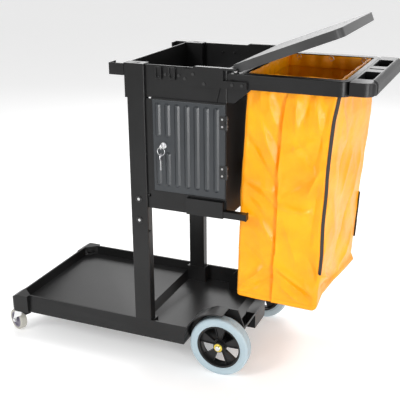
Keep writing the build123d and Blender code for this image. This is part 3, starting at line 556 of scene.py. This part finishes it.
def crease_depth(side, walk, z):
    """How far the creases push the cloth out at a place on one side."""
    depth = 0.0
    for which, a0, z0, a1, z1, push, width in CREASES:
        if which != side:
            continue
        run = Vector((a1 - a0, z1 - z0))
        spot = Vector((walk - a0, z - z0))
        share = clamp(spot.dot(run) / run.length_squared)
        away = (spot - run * share).length / width
        if away < 3:
            flank = math.exp(-away * 1.5) * (1 + away * 1.1)
            depth += push * flank * math.sin(math.pi * (0.15 + 0.7 * share))
    return depth


def swag(side, walk, z):
    """Inward droop of the mouth between its pegs."""
    if side in (0, 2):
        x = along(LEFT, z) + walk if side == 0 else along(RIGHT_FAR, z) - walk
        slack = abs(math.sin(math.pi * (x - PEGS[0]) / (PEGS[1] - PEGS[0])))
    else:
        slack = 0.6
    wrinkle = 0.6 + 0.8 * noise.noise(Vector((walk / 34.0, z / 160.0, 7.0 * side)))
    return slack * max(0.0, wrinkle) * clamp((z - 850) / 70.0)


def cloth_depth(side, walk, z, span):
    """Outward push of the hanging cloth: sag, the pressed middle fold, creases and crumple."""
    drop = (BAG_TOP - z) / (BAG_TOP - BAG_FOOT)
    across = walk / span
    free = clamp((BAG_TOP - 40 - z) / 50.0)
    sag = math.sin(math.pi * across) * (-5.0 + 7.0 * math.sin(math.pi * drop))
    along_ridge = (z * 0.86 - walk * 0.5) / 190.0
    over_ridge = (walk * 0.86 + z * 0.5) / 105.0 + 9 * side
    lean = Vector((over_ridge, along_ridge, 3.0 * side))
    ridges = noise.ridged_multi_fractal(lean, 0.9, 2.2, 3, 1.0, 1.6) - 1.1
    billow = noise.noise(Vector((walk / 120.0, z / 170.0, 5.0 * side))) * 5.0
    gather = math.sin(across * 29.0 + 3 * side + billow * 0.3) * 3.0 * math.exp(-drop * 8)
    creases = crease_depth(side, walk, z) * 1.25
    depth = sag + billow + ridges * 3.4 + creases + gather
    if side == 0:
        # the two halves of the near side meet in a pressed fold; the left half tucks under
        fold = 0.435 + 0.02 * drop + 0.008 * math.sin(z / 70.0)
        gap = (across - fold) * span
        if gap < 0:
            depth -= 12.0 * math.exp(gap / 26.0)
        else:
            depth += 5.0 * math.exp(-gap / 18.0)
    # the foot is held square by its sewn panel
    hold = clamp((z - BAG_FOOT) / 40.0)
    return depth * free * (0.3 + 0.7 * hold)


def bag_point(share, z):
    """Surface point of the bag and its outward direction, in millimetres."""
    spot, side, walk, span, outward = outline(z, share)
    edge = min(1.0, min(walk, span - walk) / 20.0)
    push = cloth_depth(side, walk, z, span) * (0.15 + 0.85 * edge)
    if z > 936:
        push = min(push, 0.0)
    push -= 11.0 * swag(side, walk, z) * edge
    return spot + outward * max(MOST_IN, min(MOST_OUT, push)), outward


def foot_sag(spot):
    """Rise of the sewn bottom: lowest at the near corner by the zip, puckered up behind it."""
    across = (spot.x - FOOT_LEFT) / FOOT_LENGTH
    near = (FOOT_HALF - spot.y) / (2 * FOOT_HALF)
    far_rise = 16 * (1 - near)
    zip_side = clamp((spot.x - 280) / 25)
    if zip_side > 0:
        behind = clamp((1 - near) / 0.16)
        return zip_side * behind * (34 - 12 * (1 - near)) + (1 - zip_side) * far_rise
    return -3 * math.sin(math.pi * clamp(across)) + 10 * (1 - across) * near + far_rise


def wrapped(vert):
    """A grid vertex as shares round the bag and up it; the last column meets the first."""
    share = 0.0 if vert.co.x > 0.4999 else vert.co.x + 0.5
    return share, vert.co.y + 0.5


form = bmesh.new()
bmesh.ops.create_grid(form, x_segments=COLUMNS, y_segments=ROWS, size=0.5)
for vert in form.verts:
    share, rise = wrapped(vert)
    z = BAG_FOOT + (BAG_TOP - BAG_FOOT) * rise
    spot, _ = bag_point(share, z)
    lift = foot_sag(spot) * (1 - rise) ** 6
    vert.co = at(spot.x, spot.y, z + lift)
bmesh.ops.remove_doubles(form, verts=form.verts, dist=MERGE)
rim = [edge for edge in form.edges if edge.is_boundary]
rim.sort(key=lambda edge: edge.verts[0].co.z)
foot = [edge for edge in rim if edge.verts[0].co.z < 0.4]
panel = bmesh.ops.contextual_create(form, geom=foot)["faces"]
bmesh.ops.inset_region(
    form, faces=panel, thickness=0.012, depth=-0.004, use_even_offset=True
)
bmesh.ops.recalc_face_normals(form, faces=form.faces)
for face in form.faces:
    face.smooth = True
bag = keep(form, "yellow_bag", VINYL, "cart")
wall = bag.modifiers.new("thickness", "SOLIDIFY")
wall.thickness = 0.0011
wall.offset = -1.0
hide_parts("bag")


def strip(name, spots, outwards, width, thick, material):
    """A flat tape that follows a line of points, lying on the surface below it."""
    tape = bmesh.new()
    bmesh.ops.create_grid(tape, x_segments=2, y_segments=len(spots) - 1, size=0.5)
    for vert in tape.verts:
        index = round((vert.co.y + 0.5) * (len(spots) - 1))
        ahead = spots[min(index + 1, len(spots) - 1)]
        behind = spots[max(index - 1, 0)]
        along_line = (ahead - behind).normalized()
        side = along_line.cross(outwards[index]).normalized()
        lift = thick * 0.5 + 0.25 * thick * (1 - abs(vert.co.x) * 2)
        vert.co = spots[index] + side * (vert.co.x * width) + outwards[index] * lift
    bmesh.ops.recalc_face_normals(tape, faces=tape.faces)
    bmesh.ops.solidify(tape, geom=tape.faces[:], thickness=thick)
    for face in tape.faces:
        face.smooth = True
    keep(tape, name, material, "cart")


def corner_line(corner, top, bottom, count, lift, sway=0.0):
    """Points down a corner of the bag, a little off its surface, with their outward directions."""
    share = sum(SIDE_SHARES[:corner])
    spots, outwards = [], []
    for step in range(count):
        z = top + (bottom - top) * step / (count - 1)
        spot, outward = bag_point(share + sway * math.sin(z / 47.0), z)
        spots.append(at(spot.x + outward.x * lift, spot.y + outward.y * lift, z))
        outwards.append(Vector((outward.x, outward.y, 0)))
    return spots, outwards


# zips: name, corner, top, foot and width of the tape
ZIPS = (("near", 1, 940, 398, 0.011), ("far", 2, 540, 378, 0.02))
ZIP_SWAY = 0.0016
TOOTH_PITCH = 3.2
TOOTH_SHIFT = 0.0006

for side, corner, top, foot, width in ZIPS:
    spots, outwards = corner_line(corner, top, foot, 90, 0.5, ZIP_SWAY)
    strip("zip_tape_" + side, spots, outwards, width, 0.0009, TAPE)
    count = int((top - foot) / TOOTH_PITCH)
    spots, outwards = corner_line(corner, top - 2, foot + 2, count, 1.2, ZIP_SWAY)
    teeth = bmesh.new()
    for index in range(len(spots) - 1):
        run = (spots[index + 1] - spots[index]).normalized()
        across = run.cross(outwards[index]).normalized()
        turn = Matrix((across, outwards[index], run)).transposed().to_4x4()
        shift = TOOTH_SHIFT if index % 2 else -TOOTH_SHIFT
        place = Matrix.Translation(spots[index] + across * shift)
        size = Matrix.Diagonal((0.0034, 0.0016, 0.0019, 1))
        bmesh.ops.create_cube(teeth, size=1, matrix=place @ turn @ size)
    keep(teeth, "zip_teeth_" + side, BLACK_STEEL, "cart")
    pull = bmesh.new()
    tip = spots[-1] + outwards[-1] * 0.0015
    size = Matrix.Diagonal((0.007, 0.004, 0.011, 1))
    bmesh.ops.create_cube(pull, size=1, matrix=Matrix.Translation(tip) @ size)
    bmesh.ops.bevel(
        pull,
        geom=pull.edges[:],
        offset=0.0011,
        segments=2,
        profile=0.5,
        affect="EDGES",
        material=-1,
    )
    keep(pull, "zip_slider_" + side, BLACK_STEEL, "cart")

# stitched seams down the two corners by the cabinet
for side, corner in (("near", 0), ("far", 3)):
    spots, outwards = corner_line(corner, 938, 284, 120, 0.4)
    strip("seam_left_" + side, spots, outwards, 0.005, 0.0008, THREAD)

# a row of stitches just above the sewn bottom
STITCHES = 240
STITCH_HEIGHT = BAG_FOOT + 14
STITCH_SIZE = Matrix.Diagonal((0.0032, 0.0007, 0.0008, 1))
foot_ring = bmesh.new()
for step in range(STITCHES):
    spot, outward = bag_point(step / STITCHES, STITCH_HEIGHT)
    ahead, _ = bag_point((step + 0.5) / STITCHES, STITCH_HEIGHT)
    run = Vector((ahead.x - spot.x, ahead.y - spot.y, 0)).normalized()
    turn = run.to_track_quat("X", "Z").to_matrix().to_4x4()
    height = STITCH_HEIGHT + foot_sag(spot) * 0.9
    middle = at(spot.x + outward.x * 0.5, spot.y + outward.y * 0.5, height)
    bmesh.ops.create_cube(
        foot_ring, size=1, matrix=Matrix.Translation(middle) @ turn @ STITCH_SIZE
    )
keep(foot_ring, "foot_stitches", THREAD, "cart")

# folded hem inside the mouth
HEM_FOOT, HEM_DEPTH = 946, 41
hem = bmesh.new()
bmesh.ops.create_grid(hem, x_segments=COLUMNS, y_segments=12, size=0.5)
for vert in hem.verts:
    share, rise = wrapped(vert)
    z = HEM_FOOT + HEM_DEPTH * rise
    spot, outward = bag_point(share, z)
    wave = noise.noise(Vector((spot.x / 21, spot.y / 21, rise * 1.5))) * 2.6
    bulge = 2.6 + (wave + 2.4) * (1 - rise) + 2.0 * math.sin(math.pi * rise)
    droop = 3.0 * noise.noise(Vector((spot.x / 40, spot.y / 40, 5 + rise)))
    spot = spot - outward * bulge
    vert.co = at(spot.x, spot.y, z + droop * (1 - rise))
bmesh.ops.remove_doubles(hem, verts=hem.verts, dist=MERGE)
bmesh.ops.recalc_face_normals(hem, faces=hem.faces)
for face in hem.faces:
    face.smooth = True
hem_piece = keep(hem, "bag_hem", VINYL, "cart")
thick = hem_piece.modifiers.new("thickness", "SOLIDIFY")
thick.thickness = 0.0022
thick.offset = 0.0


def turned(form, geom, steps):
    """Spin a profile a full turn about z into a smooth ring."""
    bmesh.ops.spin(
        form,
        geom=geom,
        cent=(0, 0, 0),
        axis=(0, 0, 1),
        angle=2 * math.pi,
        steps=steps,
        use_merge=True,
    )
    bmesh.ops.recalc_face_normals(form, faces=form.faces)
    for face in form.faces:
        face.smooth = True


def add_ring(whole, ring, place):
    """Move a ring to its place and add it to the form that holds them all."""
    bmesh.ops.transform(ring, matrix=place, verts=ring.verts)
    scrap = bpy.data.meshes.new("scrap")
    ring.to_mesh(scrap)
    ring.free()
    whole.from_mesh(scrap)
    bpy.data.meshes.remove(scrap)


QUARTER_TURN = Matrix.Rotation(math.pi / 2, 4, "X")

# an eyelet on each peg
EYELET_HEIGHT, EYELET_REACH = 978, 188
EYELET_RADIUS, EYELET_WIRE = 0.0075, 0.0012
for side, facing in (("near", -1), ("far", 1)):
    eyelets = bmesh.new()
    for peg in PEGS:
        ring = bmesh.new()
        circle = bmesh.ops.create_circle(ring, segments=20, radius=EYELET_WIRE)["verts"]
        middle = (EYELET_RADIUS, 0, 0)
        bmesh.ops.translate(ring, verts=circle, vec=middle)
        upright = Matrix.Rotation(math.pi / 2, 3, "X")
        bmesh.ops.rotate(ring, verts=circle, cent=middle, matrix=upright)
        turned(ring, ring.edges[:], 28)
        spot = at(peg, facing * EYELET_REACH, EYELET_HEIGHT)
        add_ring(eyelets, ring, Matrix.Translation(spot) @ QUARTER_TURN)
    keep(eyelets, "eyelets_" + side, ZINC, "cart")

# dished black washers round the two screws of each post
POST_SCREW_X, POST_SCREW_HEIGHTS, POST_FACE = -263, (505, 575), 238.5
# radius and rise of the washer's section, from its hole to its rim
WASHER = ((5.0, 0.1), (5.4, 1.7), (10.2, 2.6), (11.2, 1.4), (11.2, 0.1))
for side, facing in (("near", -1), ("far", 1)):
    washers = bmesh.new()
    for height in POST_SCREW_HEIGHTS:
        dish = bmesh.new()
        points = [dish.verts.new((radius / 1000, 0, rise / 1000)) for radius, rise in WASHER]
        for start, end in zip(points, points[1:]):
            dish.edges.new((start, end))
        turned(dish, dish.verts[:] + dish.edges[:], 36)
        spot = at(POST_SCREW_X, facing * POST_FACE, height)
        turn = Matrix.Rotation(-facing * math.pi / 2, 4, "X")
        add_ring(washers, dish, Matrix.Translation(spot) @ turn)
    keep(washers, "post_washers_" + side, BLACK_STEEL, "cart")

# ---------------------------------------------------------------- studio

floor_form = bmesh.new()
bmesh.ops.create_grid(floor_form, x_segments=1, y_segments=1, size=14)
floor_mesh = bpy.data.meshes.new("studio_floor")
floor_form.to_mesh(floor_mesh)
floor_form.free()
floor = bpy.data.objects.new("studio_floor", floor_mesh)
bpy.context.scene.collection.objects.link(floor)
paint = Finish("studio_floor")
floor_mesh.materials.append(
    paint.close(
        {
            "Base Color": paint.mix(paint.cloud(0.6), grey(0.84), grey(0.88)),
            "Roughness": 0.7,
            "Emission Color": grey(1.0),
            "Emission Strength": 0.28,
        }
    )
)

world = bpy.data.worlds.new("studio")
world.use_nodes = True
sky = world.node_tree.nodes
heading = sky.new("ShaderNodeTexCoord")
height = sky.new("ShaderNodeSeparateXYZ")
tones = sky.new("ShaderNodeValToRGB")
tones.color_ramp.elements[0].position = 0.3
tones.color_ramp.elements[0].color = grey(0.95)
tones.color_ramp.elements[1].position = 0.8
tones.color_ramp.elements[1].color = grey(0.42)
world.node_tree.links.new(heading.outputs["Generated"], height.inputs[0])
world.node_tree.links.new(height.outputs["Z"], tones.inputs[0])
world.node_tree.links.new(tones.outputs["Color"], sky["Background"].inputs["Color"])
bpy.context.scene.world = world


def softbox(name, place, aim, size, power):
    """A square soft light that faces a point."""
    lamp = bpy.data.lights.new(name, "AREA")
    lamp.shape = "RECTANGLE"
    lamp.size, lamp.size_y = size
    lamp.energy = power
    thing = bpy.data.objects.new(name, lamp)
    thing.location = place
    thing.visible_camera = False
    thing.rotation_euler = (Vector(aim) - Vector(place)).to_track_quat("-Z", "Y").to_euler()
    bpy.context.scene.collection.objects.link(thing)


softbox("key_light", (-1.3, -2.9, 2.6), (0.1, 0, 0.5), (1.0, 1.0), 48)
softbox("right_strip", (2.7, -2.3, 0.75), (-0.1, -0.2, 0.6), (0.45, 1.7), 52)
softbox("side_strip", (3.2, -0.7, 1.0), (0.2, 0, 0.7), (0.4, 1.8), 18)
softbox("top_light", (-0.2, 0.5, 3.4), (0, 0, 0.4), (1.8, 1.2), 44)
softbox("back_light", (-0.8, 3.0, 2.2), (0, 0, 0.6), (2.2, 1.4), 30)

LENS_LENGTH = 69.21
LOOK_DOWN = 18.47
LOOK_ROUND = 21.89
lens = bpy.data.cameras.new("camera")
lens.sensor_width = 36
lens.lens = LENS_LENGTH
lens.shift_x = -0.05
lens.shift_y = -0.05
lens.clip_end = 100
camera = bpy.data.objects.new("camera", lens)
camera.location = at(814.0, -2240.0, 1391.8)
camera.rotation_euler = (math.radians(90 - LOOK_DOWN), 0, math.radians(LOOK_ROUND))
bpy.context.scene.collection.objects.link(camera)
bpy.context.scene.camera = camera
bpy.context.scene.view_settings.view_transform = "Standard"
